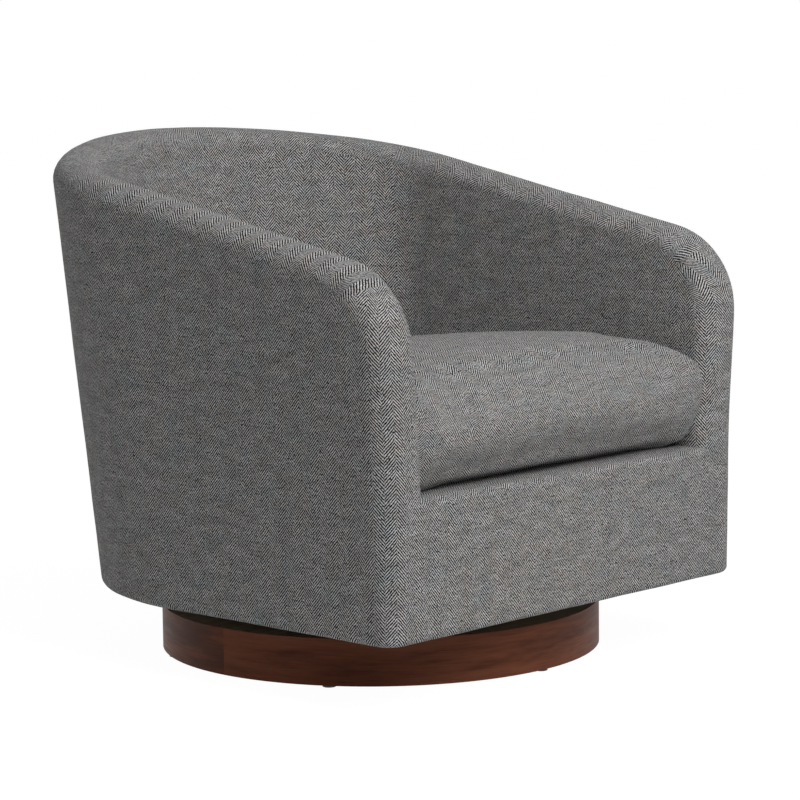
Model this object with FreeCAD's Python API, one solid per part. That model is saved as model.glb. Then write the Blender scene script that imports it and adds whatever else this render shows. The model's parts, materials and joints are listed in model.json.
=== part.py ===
import FreeCAD, Part
import math
import os
from FreeCAD import Vector

# A swivel tub chair: a seamless upholstered barrel on a low round wooden plinth, with a loose seat cushion.
# Lengths are millimetres. While the pieces are made, Z is the swivel axis, the floor is at z = 0 and the
# chair faces -Y. The finished pieces are then moved along Y, so the middle of the length is at the origin.

# Barrel, outside
half_width = 368.0            # swivel axis to the outer side of an arm, at the lower edge
front_reach = 367.0           # swivel axis to the front panel
back_reach = 416.0            # swivel axis to the back, at the lower edge
side_flare = 0.020            # how far the sides lean out per millimetre of height
back_flare = 0.096            # how far the back leans out per millimetre of height
side_straight = 65.0          # where the straight arms begin to bend round, at the lower edge
bend_lean = 0.190             # how far that point moves back per millimetre of height
lower_edge_radius = 9.0

# Rim, one straight slope from the arm fronts up to the back
arm_height = 579.0            # floor to where the rim's slope would meet the front panel
rim_slope = 0.196
arm_front_radius = 126.0      # the round nose of the arms, seen from the side
rim_outer_radius = 31.0
rim_inner_radius = 28.0

# Sitting space
deck_height = 285.0
seat_half_width = 291.0
seat_side_flare = 0.045
seat_back_reach = 345.0
seat_back_lean = 0.120
seat_straight = 195.0
deck_edge_radius = 10.0
back_corner_x = 258.0         # where the inside arm and the inside back covers meet
back_corner_y = 228.0
outside_seam_x = 238.0        # where the outside arm and the outside back covers meet

# Layers of the upholstery
cover = 2.5
wadding = 5.5
outer_board = 4.0
inner_board = 3.0
board_lift = 1.5              # the boards stop this far above the dust cover
arm_foam = 23.5
deck_foam = 18.0
jute = 3.0

# Loose seat cushion
cushion_reach = 356.0         # swivel axis to the front of the cushion
cushion_height = 168.0        # deck to the crown
cushion_nose = 10.0           # how far the front bulges
cushion_crown_radius = 3400.0
cushion_edge_radius = 34.0
cushion_foot_radius = 12.0
cushion_cover = 2.0
cushion_clearance = 0.5

# Frame
ply = 18.0
wall_timber = 32.0            # thickness of the uprights in the wall
ring_width = 60.0             # width of the two ply rings
post_depth = 60.0
stud_width = 50.0
top_rail_height = 22.0
front_rail_thickness = 22.0
cross_rail_width = 60.0
cross_rail_height = 22.0
cross_rail_spacing = 230.0
corner_block_side = 55.0
corner_block_height = 50.0
side_stud_y = -40.0
back_stud_x = 130.0
back_corner_stud_angle = 48.0

# Springs
spring_count = 5
spring_spacing = 100.0
spring_wire = 3.8
spring_turn_radius = 13.0
spring_half_width = 27.0
spring_rest = 16.0            # length of a spring's end on its rail
clip_width = 22.0
clip_length = 14.0
clip_wall = 1.2
spring_room = 6.0             # height for springs and clips under the jute

# Plinth
plinth_radius = 318.0
plinth_height = 69.0          # floor to the top of the plinth
plinth_wall = 22.0
veneer = 1.5
plinth_board = 18.0
brace_thickness = 22.0
brace_height = 30.0
glue_block_count = 8
glue_block_length = 44.0
glue_block_side = 20.0
glide_count = 6
glide_radius = 9.5
glide_height = 3.0
glide_nail_radius = 1.6
glide_nail_length = 14.0

# Swivel
body_gap = 26.0               # plinth top to the barrel's lower edge
plate_side = 280.0
plate_corner = 24.0
plate_thickness = 4.0
ball_radius = 6.0
ball_count = 24
ball_track_radius = 100.0
groove_depth = 2.0
running_clearance = 0.05
cage_thickness = 1.8
cage_width = 24.0
pin_radius = 8.0
pin_nut_radius = 14.0
pin_nut_height = 8.0
pin_end = 3.0
swivel_board_side = 320.0
bolt_spacing = 230.0
bolt_radius = 4.0
bolt_head_radius = 7.5
bolt_head_height = 3.0
bolt_end = 4.0
nut_flange_radius = 10.0
nut_flange = 2.0
nut_barrel_radius = 5.5
nut_barrel = 9.0

# Heights and insets worked out from the sizes above
body_bottom = plinth_height + body_gap
frame_bottom = body_bottom + cover
frame_inset = cover + wadding + outer_board
wall_pad = cover + arm_foam
inner_inset = wall_pad + inner_board
bottom_frame_top = frame_bottom + ply
deck_foam_bottom = deck_height - cover - deck_foam
jute_bottom = deck_foam_bottom - jute
seat_frame_top = jute_bottom - spring_room
seat_frame_bottom = seat_frame_top - ply
lower_plate_top = plinth_height + plate_thickness
ball_centre = lower_plate_top - groove_depth + running_clearance + ball_radius
upper_plate_bottom = ball_centre + ball_radius + running_clearance - groove_depth
upper_plate_top = upper_plate_bottom + plate_thickness
loft_top = arm_height + rim_slope * (front_reach + 2.0 * back_reach)
far = 3.0 * (half_width + back_reach)
front_overrun = 60.0
slope = math.atan(rim_slope)


def box(x0, x1, y0, y1, z0, z1):
    return Part.makeBox(x1 - x0, y1 - y0, z1 - z0, Vector(x0, y0, z0))


def slab(z0, z1):
    return box(-far, far, -far, far, z0, z1)


def disc(radius, z0, z1, x=0.0, y=0.0):
    return Part.makeCylinder(radius, z1 - z0, Vector(x, y, z0))


def ring(outer, inner, z0, z1):
    return disc(outer, z0, z1).cut(disc(inner, z0, z1))


def prism(points, z0, z1):
    corners = [Vector(x, y, z0) for x, y in points]
    return Part.Face(Part.makePolygon(corners + corners[:1])).extrude(Vector(0, 0, z1 - z0))


def grid(spacing):
    half = spacing / 2.0
    return [(x, y) for x in (-half, half) for y in (-half, half)]


def pieces(shape):
    solids = [s for s in shape.Solids if s.Volume > 1.0]
    return solids[0] if len(solids) == 1 else Part.makeCompound(solids)


def left(shape):
    return pieces(shape.common(box(-far, 0.0, -far, far, -far, far)))


def right(shape):
    return pieces(shape.common(box(0.0, far, -far, far, -far, far)))


# A plan of the barrel or of the sitting space: straight arms, a bend at each side and a flatter back
def plan(width, bend, reach, front, z):
    depth = reach - bend
    shift = (width - depth) / (math.sqrt(2.0) - 1.0)
    side_radius = width - shift * math.sqrt(0.5)
    back_radius = depth + shift * math.sqrt(0.5)

    def side(angle, sign):
        return Vector(sign * (width - side_radius + side_radius * math.cos(angle)),
                      bend + side_radius * math.sin(angle), z)

    middle = Vector(0.0, reach, z)
    eighth = math.pi / 8.0
    front_left = Vector(-width, front, z)
    front_right = Vector(width, front, z)
    return Part.Wire([
        Part.makeLine(front_left, side(0.0, -1)),
        Part.Arc(side(0.0, -1), side(eighth, -1), side(2.0 * eighth, -1)).toShape(),
        Part.Arc(side(2.0 * eighth, -1), middle, side(2.0 * eighth, 1)).toShape(),
        Part.Arc(side(2.0 * eighth, 1), side(eighth, 1), side(0.0, 1)).toShape(),
        Part.makeLine(side(0.0, 1), front_right),
        Part.makeLine(front_right, front_left)])


def barrel_plan(inset, z):
    up = z - body_bottom
    return plan(half_width + side_flare * up - inset, side_straight + bend_lean * up,
                back_reach + back_flare * up - inset, -front_reach - front_overrun, z)


def barrel(inset, z0=0.0, z1=loft_top):
    return Part.makeLoft([barrel_plan(inset, z0), barrel_plan(inset, z1)], True, True)


def seat_plan(grow, z):
    up = z - deck_height
    return plan(seat_half_width + seat_side_flare * up + grow, seat_straight,
                seat_back_reach + seat_back_lean * up + grow, -front_reach - front_overrun, z)


def seat_space(grow, z0, z1=loft_top):
    return Part.makeLoft([seat_plan(grow, z0), seat_plan(grow, z1)], True, True)


# Everything under the rim and behind the front panel, less an inset
def under_rim(inset, z0):
    radius = arm_front_radius - inset
    y0 = -front_reach + inset
    z_front = arm_height + (rim_slope - 1.0 / math.cos(slope)) * inset
    y_nose = y0 + radius
    z_nose = z_front + radius * (rim_slope - 1.0 / math.cos(slope))
    lean = math.pi / 4.0 + slope / 2.0
    foot = Vector(-far, y0, z0)
    nose_start = Vector(-far, y0, z_nose)
    nose_middle = Vector(-far, y_nose - radius * math.cos(lean), z_nose + radius * math.sin(lean))
    nose_end = Vector(-far, y_nose - radius * math.sin(slope), z_nose + radius * math.cos(slope))
    back_top = Vector(-far, far, z_front + rim_slope * (far - y0))
    back_foot = Vector(-far, far, z0)
    outline = Part.Wire([
        Part.makeLine(foot, nose_start),
        Part.Arc(nose_start, nose_middle, nose_end).toShape(),
        Part.makeLine(nose_end, back_top),
        Part.makeLine(back_top, back_foot),
        Part.makeLine(back_foot, foot)])
    return Part.Face(outline).extrude(Vector(2.0 * far, 0, 0))


def edges_on(shape, first, second, lowest):
    found = []
    for edge in shape.Edges:
        start, end = edge.FirstParameter, edge.LastParameter
        spots = [Part.Vertex(edge.valueAt(start + share * (end - start))) for share in (0.25, 0.5, 0.75)]
        near = all(skin.distToShape(spot)[0] < 0.02 for skin in (first, second) for spot in spots)
        if near and edge.BoundBox.ZMax > lowest:
            found.append(edge)
    return found


# The whole upholstered body as one form, at a depth below its surface
def upholstery(inset):
    low = body_bottom + inset
    deck = deck_height - inset
    outer = barrel(inset)
    profile = under_rim(inset, low)
    space = seat_space(inset, deck)
    form = outer.common(profile)
    rim = edges_on(form, outer.Shells[0], profile.Shells[0], low + 1.0)
    form = form.makeFillet(rim_outer_radius - inset, rim)
    foot = [e for e in form.Edges if e.BoundBox.ZMax < low + 0.1]
    form = form.makeFillet(lower_edge_radius - inset, foot)
    closed = form.Shells[0]
    form = form.cut(space)
    form = form.makeFillet(rim_inner_radius - inset, edges_on(form, space.Shells[0], closed, deck + 1.0))
    front = -front_reach + inset
    lip = [e for e in form.Edges if e.BoundBox.XLength > seat_half_width
           and abs(e.BoundBox.ZMin - deck) < 0.1 and abs(e.BoundBox.YMin - front) < 0.1]
    return form.makeFillet(deck_edge_radius - inset, lip[:1])


# What lies between the two inside seams, from the sitting space backwards
def back_sector():
    x, y = back_corner_x, back_corner_y
    return prism([(-x, y), (x, y), (x + far, y + far), (-x - far, y + far)], 0.0, loft_top)


def outside_back():
    return box(-outside_seam_x, outside_seam_x, 0.0, far, 0.0, loft_top)


def split_in_three(shape, middle):
    sides = shape.cut(middle)
    return left(sides), right(sides), pieces(shape.common(middle))


def covers(skin, under_skin):
    shell = skin.cut(under_skin)
    inner_zone = barrel(rim_outer_radius)
    outside = shell.cut(inner_zone)
    inside = shell.common(inner_zone)
    behind_front = -front_reach + wall_pad
    panel_top = deck_height - deck_edge_radius
    bottom = box(-far, far, behind_front, far, 0.0, frame_bottom)
    board_hole = box(-swivel_board_side / 2.0, swivel_board_side / 2.0,
                     -swivel_board_side / 2.0, swivel_board_side / 2.0, 0.0, frame_bottom)
    dust = inside.common(bottom).cut(board_hole)
    front = inside.common(slab(0.0, panel_top)).cut(bottom)
    upper = inside.common(slab(panel_top, loft_top))
    footprint = seat_space(0.0, panel_top, deck_height + 1.0)
    deck = upper.common(footprint)
    arms_and_back = upper.cut(footprint)
    out_left, out_right, out_back = split_in_three(outside, outside_back())
    in_left, in_right, in_back = split_in_three(arms_and_back, back_sector())
    return {"outside_cover_left": out_left, "outside_cover_right": out_right, "outside_cover_back": out_back,
            "inside_cover_left": in_left, "inside_cover_right": in_right, "inside_cover_back": in_back,
            "front_cover": pieces(front), "deck_cover": pieces(deck), "dust_cover": pieces(dust)}


def padding(under_skin):
    core = barrel(cover + wadding).common(under_rim(wall_pad, 0.0)).cut(seat_space(wall_pad, seat_frame_top))
    pad = under_skin.cut(core)
    outer_zone = under_rim(wall_pad, 0.0).cut(barrel(cover + wadding))
    wrap = pad.common(outer_zone)
    inner = pad.cut(outer_zone)
    front = inner.common(slab(0.0, deck_foam_bottom)).common(box(-far, far, -far, wall_pad - front_reach, 0.0, far))
    upper = inner.common(slab(deck_foam_bottom, loft_top))
    footprint = seat_space(0.0, deck_foam_bottom - 1.0, deck_height)
    deck = upper.common(footprint)
    arms_and_back = upper.cut(footprint)
    wrap_left, wrap_right, wrap_back = split_in_three(wrap, outside_back())
    arm_left, arm_right, back = split_in_three(arms_and_back, back_sector())
    return {"outer_wadding_left": wrap_left, "outer_wadding_right": wrap_right, "outer_wadding_back": wrap_back,
            "arm_pad_left": arm_left, "arm_pad_right": arm_right, "back_pad": back,
            "front_pad": pieces(front), "deck_pad": pieces(deck)}


def boards():
    room = under_rim(wall_pad, frame_bottom + board_lift).cut(seat_space(wall_pad, seat_frame_top))
    outer = room.common(barrel(cover + wadding)).cut(barrel(frame_inset))
    inner = room.common(barrel(frame_inset)).common(seat_space(inner_inset, deck_foam_bottom))
    outer_left, outer_right, outer_back = split_in_three(outer, outside_back())
    inner_left, inner_right, inner_back = split_in_three(inner, back_sector())
    return {"outer_panel_left": outer_left, "outer_panel_right": outer_right, "outer_panel_back": outer_back,
            "inner_panel_left": inner_left, "inner_panel_right": inner_right, "inner_panel_back": inner_back}


# The room that the timber frame may fill
def frame_room():
    room = barrel(frame_inset).common(under_rim(wall_pad, frame_bottom))
    return room.cut(seat_space(inner_inset, seat_frame_top))


def top_rail(room):
    lowered = under_rim(wall_pad, frame_bottom - far)
    lowered.translate(Vector(0.0, 0.0, -top_rail_height / math.cos(slope)))
    behind_nose = box(-far, far, arm_front_radius - front_reach, far, 0.0, loft_top)
    return pieces(room.cut(lowered).common(behind_nose))


def uprights(room, rail):
    strip = room.cut(barrel(frame_inset + wall_timber)).cut(rail)
    front = -front_reach + wall_pad
    half = stud_width / 2.0
    posts = strip.common(box(-far, far, front, front + post_depth, 0.0, far))
    side = strip.common(box(-far, far, side_stud_y - half, side_stud_y + half, 0.0, far))
    middle = strip.common(box(-back_stud_x - half, -back_stud_x + half, 0.0, far, 0.0, far)
                          .fuse(box(back_stud_x - half, back_stud_x + half, 0.0, far, 0.0, far)))
    corners = []
    for angle in (back_corner_stud_angle, 180.0 - back_corner_stud_angle):
        beam = box(0.0, far, -half, half, 0.0, far)
        beam.rotate(Vector(0.0, 0.0, 0.0), Vector(0, 0, 1), angle)
        beam.translate(Vector(0.0, side_straight, 0.0))
        corners.extend(strip.common(beam).Solids)
    studs = Part.makeCompound(middle.Solids + corners)
    return pieces(posts), pieces(side), pieces(studs)


def ply_ring(room, z0, z1, notches):
    front = -front_reach + wall_pad
    opening = barrel(frame_inset + ring_width).common(box(-far, far, front + ring_width, far, 0.0, loft_top))
    plate = room.common(slab(z0, z1)).cut(opening)
    for notch in notches:
        plate = plate.cut(notch)
    return pieces(plate)


def front_rail(room, notches):
    front = -front_reach + wall_pad
    rail = room.common(box(-far, far, front, front + front_rail_thickness, bottom_frame_top, seat_frame_bottom))
    return pieces(rail.cut(notches[0]))


def corner_blocks():
    front = -front_reach + wall_pad + front_rail_thickness
    wall = half_width + side_flare * (seat_frame_bottom - body_bottom) - frame_inset - wall_timber
    room = barrel(frame_inset + wall_timber)
    blocks = []
    for sign in (-1.0, 1.0):
        corner = [(sign * wall, front), (sign * (wall - corner_block_side), front),
                  (sign * wall, front + corner_block_side)]
        block = prism(corner, seat_frame_bottom - corner_block_height, seat_frame_bottom)
        blocks.extend(block.common(room).Solids)
    return pieces(Part.makeCompound(blocks))


def cross_rails(notches):
    rails = []
    for sign in (-1.0, 1.0):
        middle = sign * cross_rail_spacing / 2.0
        rail = box(-far, far, middle - cross_rail_width / 2.0, middle + cross_rail_width / 2.0,
                   bottom_frame_top, bottom_frame_top + cross_rail_height)
        rail = rail.common(barrel(frame_inset + wall_timber))
        for notch in notches:
            rail = rail.cut(notch)
        rails.extend(rail.Solids)
    return pieces(Part.makeCompound(rails))


def spring_places():
    front = -front_reach + wall_pad + ring_width - spring_rest
    opening = barrel(frame_inset + ring_width, seat_frame_top, seat_frame_top + 1.0)
    places = []
    for index in range(spring_count):
        x = (index - (spring_count - 1) / 2.0) * spring_spacing
        line = Part.makeLine(Vector(x, 0.0, seat_frame_top + 0.5), Vector(x, far, seat_frame_top + 0.5))
        back = line.common(opening).BoundBox.YMax + spring_rest
        places.append((x, front, back))
    return places


# A serpentine spring: half circles joined by short straights, lying on the ring's front and back bars
def serpentine(x, front, back):
    z = seat_frame_top + spring_wire / 2.0
    lead = spring_rest + spring_turn_radius
    turns = int((back - front - 2.0 * lead) / (2.0 * spring_turn_radius))
    turns -= turns % 2
    start = (front + back) / 2.0 - turns * spring_turn_radius
    reach = spring_half_width - spring_turn_radius
    radius = spring_turn_radius
    edges = [Part.makeLine(Vector(x, front, z), Vector(x, start - radius, z)),
             quarter(Vector(x + radius, start - radius, z), radius, 180.0, 90.0),
             Part.makeLine(Vector(x + radius, start, z), Vector(x + reach, start, z))]
    for turn in range(turns):
        side = 1.0 if turn % 2 == 0 else -1.0
        y = start + 2.0 * radius * turn
        y_next = y + 2.0 * radius
        across = -radius if turn == turns - 1 else -side * reach
        edges.append(Part.Arc(Vector(x + side * reach, y, z), Vector(x + side * (reach + radius), y + radius, z),
                              Vector(x + side * reach, y_next, z)).toShape())
        edges.append(Part.makeLine(Vector(x + side * reach, y_next, z), Vector(x + across, y_next, z)))
    end = start + 2.0 * radius * turns
    edges.append(quarter(Vector(x - radius, end + radius, z), radius, 270.0, 360.0))
    edges.append(Part.makeLine(Vector(x, end + radius, z), Vector(x, back, z)))
    return edges


def quarter(centre, radius, start, end):
    def at(angle):
        turn = math.radians(angle)
        return centre + Vector(radius * math.cos(turn), radius * math.sin(turn), 0.0)
    return Part.Arc(at(start), at((start + end) / 2.0), at(end)).toShape()


def springs():
    wires = []
    for x, front, back in spring_places():
        path = Part.Wire(serpentine(x, front, back))
        section = Part.Wire([Part.makeCircle(spring_wire / 2.0, Vector(x, front, seat_frame_top + spring_wire / 2.0),
                                             Vector(0, 1, 0))])
        wires.append(path.makePipeShell([section], True, False))
    return pieces(Part.makeCompound(wires))


# Clips straddle the springs' ends and are nailed to the ring
def spring_clips():
    clips = []
    half = clip_width / 2.0
    radius = spring_wire / 2.0
    middle = seat_frame_top + radius
    for x, front, back in spring_places():
        for y0 in (front, back - clip_length):
            clip = box(x - half, x + half, y0, y0 + clip_length, seat_frame_top, middle + radius + clip_wall)
            arch = Part.makeCylinder(radius, clip_length, Vector(x, y0, middle), Vector(0, 1, 0))
            legs = box(x - radius, x + radius, y0, y0 + clip_length, seat_frame_top, middle)
            clips.append(clip.cut(arch.fuse(legs)))
    return Part.makeCompound(clips)


def jute_pad():
    behind_front = box(-far, far, -front_reach + wall_pad, far, 0.0, far)
    return pieces(seat_space(0.0, jute_bottom, deck_foam_bottom).common(behind_front))


# The loose cushion: it fills the space between the arms, with a crowned top and a round nose
def cushion(inset):
    low = deck_height + cushion_clearance + inset
    high = deck_height + cushion_height - inset
    width = seat_half_width - cushion_clearance - inset
    reach = seat_back_reach - cushion_clearance - inset
    wires = [plan(width, seat_straight, reach, -front_reach - front_overrun, z) for z in (low, high + 10.0)]
    form = Part.makeLoft(wires, True, True)
    nose = -cushion_reach + inset
    foot = Vector(-far, nose + cushion_nose, low)
    top = Vector(-far, nose + cushion_nose, high + 10.0)
    belly = Vector(-far, nose, (low + high) / 2.0)
    outline = Part.Wire([Part.Arc(foot, belly, top).toShape(),
                         Part.makeLine(top, Vector(-far, far, top.z)),
                         Part.makeLine(Vector(-far, far, top.z), Vector(-far, far, low)),
                         Part.makeLine(Vector(-far, far, low), foot)])
    form = form.common(Part.Face(outline).extrude(Vector(2.0 * far, 0, 0)))
    crown = Part.makeSphere(cushion_crown_radius, Vector(0.0, 0.0, high - cushion_crown_radius))
    crown.rotate(Vector(0.0, 0.0, high - cushion_crown_radius), Vector(0, 1, 0), 90.0)
    form = form.common(crown)
    upper = [e for e in form.Edges if e.BoundBox.ZMin > (low + high) / 2.0]
    form = form.makeFillet(cushion_edge_radius - inset, upper)
    lower = [e for e in form.Edges if e.BoundBox.ZMax < low + 0.1]
    return form.makeFillet(cushion_foot_radius - inset, lower)


def rounded_plate(z0, z1):
    half = plate_side / 2.0
    plate = box(-half, half, -half, half, z0, z1)
    corners = [e for e in plate.Edges if e.BoundBox.ZLength > (z1 - z0) / 2.0]
    return plate.makeFillet(plate_corner, corners)


def ball_track(z):
    return Part.makeTorus(ball_track_radius, ball_radius + running_clearance, Vector(0.0, 0.0, z))


def lower_plate():
    plate = rounded_plate(plinth_height, lower_plate_top).cut(ball_track(ball_centre))
    plate = plate.cut(disc(pin_radius, plinth_height, lower_plate_top))
    for x, y in grid(bolt_spacing):
        plate = plate.cut(disc(bolt_radius, plinth_height, lower_plate_top, x, y))
    return plate


def upper_plate():
    plate = rounded_plate(upper_plate_bottom, upper_plate_top).cut(ball_track(ball_centre))
    plate = plate.cut(disc(pin_radius + running_clearance, upper_plate_bottom, upper_plate_top))
    for x, y in grid(bolt_spacing):
        plate = plate.cut(disc(bolt_radius, upper_plate_bottom, upper_plate_top, x, y))
    return plate


def ball_positions():
    step = 2.0 * math.pi / ball_count
    return [(ball_track_radius * math.cos(step * k), ball_track_radius * math.sin(step * k))
            for k in range(ball_count)]


def balls():
    return Part.makeCompound([Part.makeSphere(ball_radius, Vector(x, y, ball_centre)) for x, y in ball_positions()])


def ball_cage():
    half = cage_width / 2.0
    cage = ring(ball_track_radius + half, ball_track_radius - half,
                ball_centre - cage_thickness / 2.0, ball_centre + cage_thickness / 2.0)
    for x, y in ball_positions():
        cage = cage.cut(disc(ball_radius + running_clearance, ball_centre - cage_thickness,
                             ball_centre + cage_thickness, x, y))
    return cage


def centre_pin():
    nut_bottom = upper_plate_top + running_clearance
    return disc(pin_radius, plinth_height, nut_bottom + pin_nut_height + pin_end)


def pin_nut():
    nut_bottom = upper_plate_top + running_clearance
    corners = [(pin_nut_radius * math.cos(math.pi / 3.0 * k), pin_nut_radius * math.sin(math.pi / 3.0 * k))
               for k in range(6)]
    nut = prism(corners, nut_bottom, nut_bottom + pin_nut_height)
    return nut.cut(disc(pin_radius, nut_bottom, nut_bottom + pin_nut_height))


# A bolt whose head bears on one side of a stack and whose tee nut bears on the other side
def bolt(x, y, head_side, nut_side):
    up = 1.0 if nut_side > head_side else -1.0
    head = disc(bolt_head_radius, min(head_side, head_side - up * bolt_head_height),
                max(head_side, head_side - up * bolt_head_height), x, y)
    tip = nut_side + up * bolt_end
    shank = disc(bolt_radius, min(head_side, tip), max(head_side, tip), x, y)
    return head.fuse(shank).removeSplitter()


def tee_nut(x, y, head_side, nut_side):
    up = 1.0 if nut_side > head_side else -1.0
    flange = disc(nut_flange_radius, min(nut_side, nut_side + up * nut_flange),
                  max(nut_side, nut_side + up * nut_flange), x, y)
    barrel_end = nut_side - up * nut_barrel
    sleeve = disc(nut_barrel_radius, min(nut_side, barrel_end), max(nut_side, barrel_end), x, y)
    bore = disc(bolt_radius, min(nut_side, barrel_end) - nut_flange, max(nut_side, barrel_end) + nut_flange, x, y)
    return flange.fuse(sleeve).removeSplitter().cut(bore)


def bolt_group(head_side, nut_side):
    bolts = [bolt(x, y, head_side, nut_side) for x, y in grid(bolt_spacing)]
    nuts = [tee_nut(x, y, head_side, nut_side) for x, y in grid(bolt_spacing)]
    return Part.makeCompound(bolts), Part.makeCompound(nuts)


def swivel_board(fasteners):
    half = swivel_board_side / 2.0
    board = box(-half, half, -half, half, upper_plate_top, bottom_frame_top)
    board = board.cut(disc(pin_nut_radius * 2.0, upper_plate_top, bottom_frame_top))
    for fastener in fasteners:
        board = board.cut(fastener)
    return pieces(board)


def glide_places():
    reach = plinth_radius - plinth_wall / 2.0
    angles = [2.0 * math.pi * (k + 0.5) / glide_count for k in range(glide_count)]
    return [(reach * math.cos(angle), reach * math.sin(angle)) for angle in angles]


def glides():
    made = []
    for x, y in glide_places():
        pad = disc(glide_radius, 0.0, glide_height, x, y)
        pad = pad.makeFillet(glide_height / 4.0, [e for e in pad.Edges if e.BoundBox.ZMax < 0.01])
        made.append(pad.fuse(disc(glide_nail_radius, glide_height, glide_height + glide_nail_length, x, y)))
    return Part.makeCompound(made)


def plinth_ring():
    hoop = ring(plinth_radius - veneer, plinth_radius - plinth_wall, glide_height, plinth_height)
    for x, y in glide_places():
        hoop = hoop.cut(disc(glide_nail_radius, 0.0, glide_height + glide_nail_length, x, y))
    return hoop


def plinth_veneer():
    return ring(plinth_radius, plinth_radius - veneer, glide_height, plinth_height)


def plinth_top_board(fasteners):
    board = disc(plinth_radius - plinth_wall, plinth_height - plinth_board, plinth_height)
    for fastener in fasteners:
        board = board.cut(fastener)
    return board


def plinth_braces():
    top = plinth_height - plinth_board
    half = brace_thickness / 2.0
    room = disc(plinth_radius - plinth_wall, top - brace_height, top)
    middle = top - brace_height / 2.0
    along_x = room.common(box(-far, far, -half, half, 0.0, top)).cut(box(-half, half, -half, half, middle, top))
    along_y = room.common(box(-half, half, -far, far, 0.0, top)).cut(box(-half, half, -half, half, 0.0, middle))
    return Part.makeCompound([along_x.Solids[0], along_y.Solids[0]])


def glue_blocks():
    top = plinth_height - plinth_board
    reach = plinth_radius - plinth_wall
    room = disc(reach, top - glue_block_side, top)
    blocks = []
    for k in range(glue_block_count):
        block = box(reach - glue_block_side, reach + glue_block_side, -glue_block_length / 2.0,
                    glue_block_length / 2.0, top - glue_block_side, top)
        block.rotate(Vector(0.0, 0.0, 0.0), Vector(0, 0, 1), 360.0 * (k + 0.5) / glue_block_count)
        blocks.extend(block.common(room).Solids)
    return Part.makeCompound(blocks)


def base_parts():
    lower_bolts, lower_nuts = bolt_group(lower_plate_top, plinth_height - plinth_board)
    return {"floor_glides": glides(), "plinth_ring": plinth_ring(), "plinth_veneer": plinth_veneer(),
            "plinth_top_board": plinth_top_board([lower_bolts, lower_nuts]), "plinth_braces": plinth_braces(),
            "glue_blocks": glue_blocks(), "lower_swivel_plate": lower_plate(), "lower_plate_bolts": lower_bolts,
            "lower_plate_nuts": lower_nuts, "centre_pin": centre_pin(), "pin_nut": pin_nut()}


def frame_parts():
    rail_top = bottom_frame_top + cross_rail_height
    bolts, nuts = bolt_group(upper_plate_bottom, rail_top)
    room = frame_room()
    rail = top_rail(room)
    posts, side_studs, back_studs = uprights(room, rail)
    upright = [posts, side_studs, back_studs]
    board = swivel_board([bolts, nuts])
    return {"upper_swivel_plate": upper_plate(), "upper_plate_bolts": bolts, "upper_plate_nuts": nuts,
            "swivel_board": board, "cross_rails": cross_rails([bolts, nuts]),
            "bottom_frame": ply_ring(room, frame_bottom, bottom_frame_top, upright),
            "seat_frame": ply_ring(room, seat_frame_bottom, seat_frame_top, upright),
            "front_rail": front_rail(room, upright), "corner_blocks": corner_blocks(),
            "front_posts": posts, "side_studs": side_studs, "back_studs": back_studs, "top_rail": rail,
            "sinuous_springs": springs(), "spring_clips": spring_clips(), "jute_pad": jute_pad()}


def cushion_parts():
    outside = cushion(0.0)
    core = cushion(cushion_cover)
    return {"cushion_core": core, "cushion_cover": outside.cut(core)}


def main():
    os.makedirs("parts", exist_ok=True)
    skin = upholstery(0.0)
    under_skin = upholstery(cover)
    parts = {}
    parts.update(base_parts())
    parts.update({"ball_cage": ball_cage(), "bearing_balls": balls()})
    parts.update(frame_parts())
    parts.update(boards())
    parts.update(padding(under_skin))
    parts.update(covers(skin, under_skin))
    parts.update(cushion_parts())
    extent = skin.optimalBoundingBox(False)
    shift = -(extent.YMin + extent.YMax) / 2.0
    print("swivel axis at y", round(shift, 3), "length", round(extent.YLength, 2),
          "width", round(extent.XLength, 2), "height", round(extent.ZMax, 2))
    for name, shape in parts.items():
        shape.translate(Vector(0.0, shift, 0.0))
        shape.exportStep("parts/%s.step" % name)
        print(name, len(shape.Solids), round(shape.Volume), shape.isValid())


main()
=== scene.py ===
import json
import math
import bpy
import bmesh
from mathutils import Matrix, Vector, noise
from mathutils.kdtree import KDTree


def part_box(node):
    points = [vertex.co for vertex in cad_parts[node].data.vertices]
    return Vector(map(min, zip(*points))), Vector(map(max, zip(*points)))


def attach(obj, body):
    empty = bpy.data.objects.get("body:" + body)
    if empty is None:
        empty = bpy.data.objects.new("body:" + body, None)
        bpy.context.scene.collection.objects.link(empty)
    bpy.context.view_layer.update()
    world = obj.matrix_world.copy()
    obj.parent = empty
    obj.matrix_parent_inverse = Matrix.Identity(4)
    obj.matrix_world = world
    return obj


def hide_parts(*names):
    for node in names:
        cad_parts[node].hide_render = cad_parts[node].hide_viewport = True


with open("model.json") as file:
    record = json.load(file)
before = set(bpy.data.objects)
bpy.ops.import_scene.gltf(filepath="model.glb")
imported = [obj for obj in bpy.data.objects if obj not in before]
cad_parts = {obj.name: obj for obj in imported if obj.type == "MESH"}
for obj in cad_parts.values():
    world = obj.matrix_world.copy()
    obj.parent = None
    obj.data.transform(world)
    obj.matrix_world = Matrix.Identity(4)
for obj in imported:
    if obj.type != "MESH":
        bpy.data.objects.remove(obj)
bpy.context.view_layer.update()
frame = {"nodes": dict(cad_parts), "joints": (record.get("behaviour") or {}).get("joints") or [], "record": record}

print("frame loaded")

# The barrel is worked out round a swivel axis at x 0, y 0, and is moved to the frame's axis when finished
axisY = next(j for j in frame["joints"] if j["name"] == "swivel")["pos_m"][1]
quarterTurn = math.pi / 2.0

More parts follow.
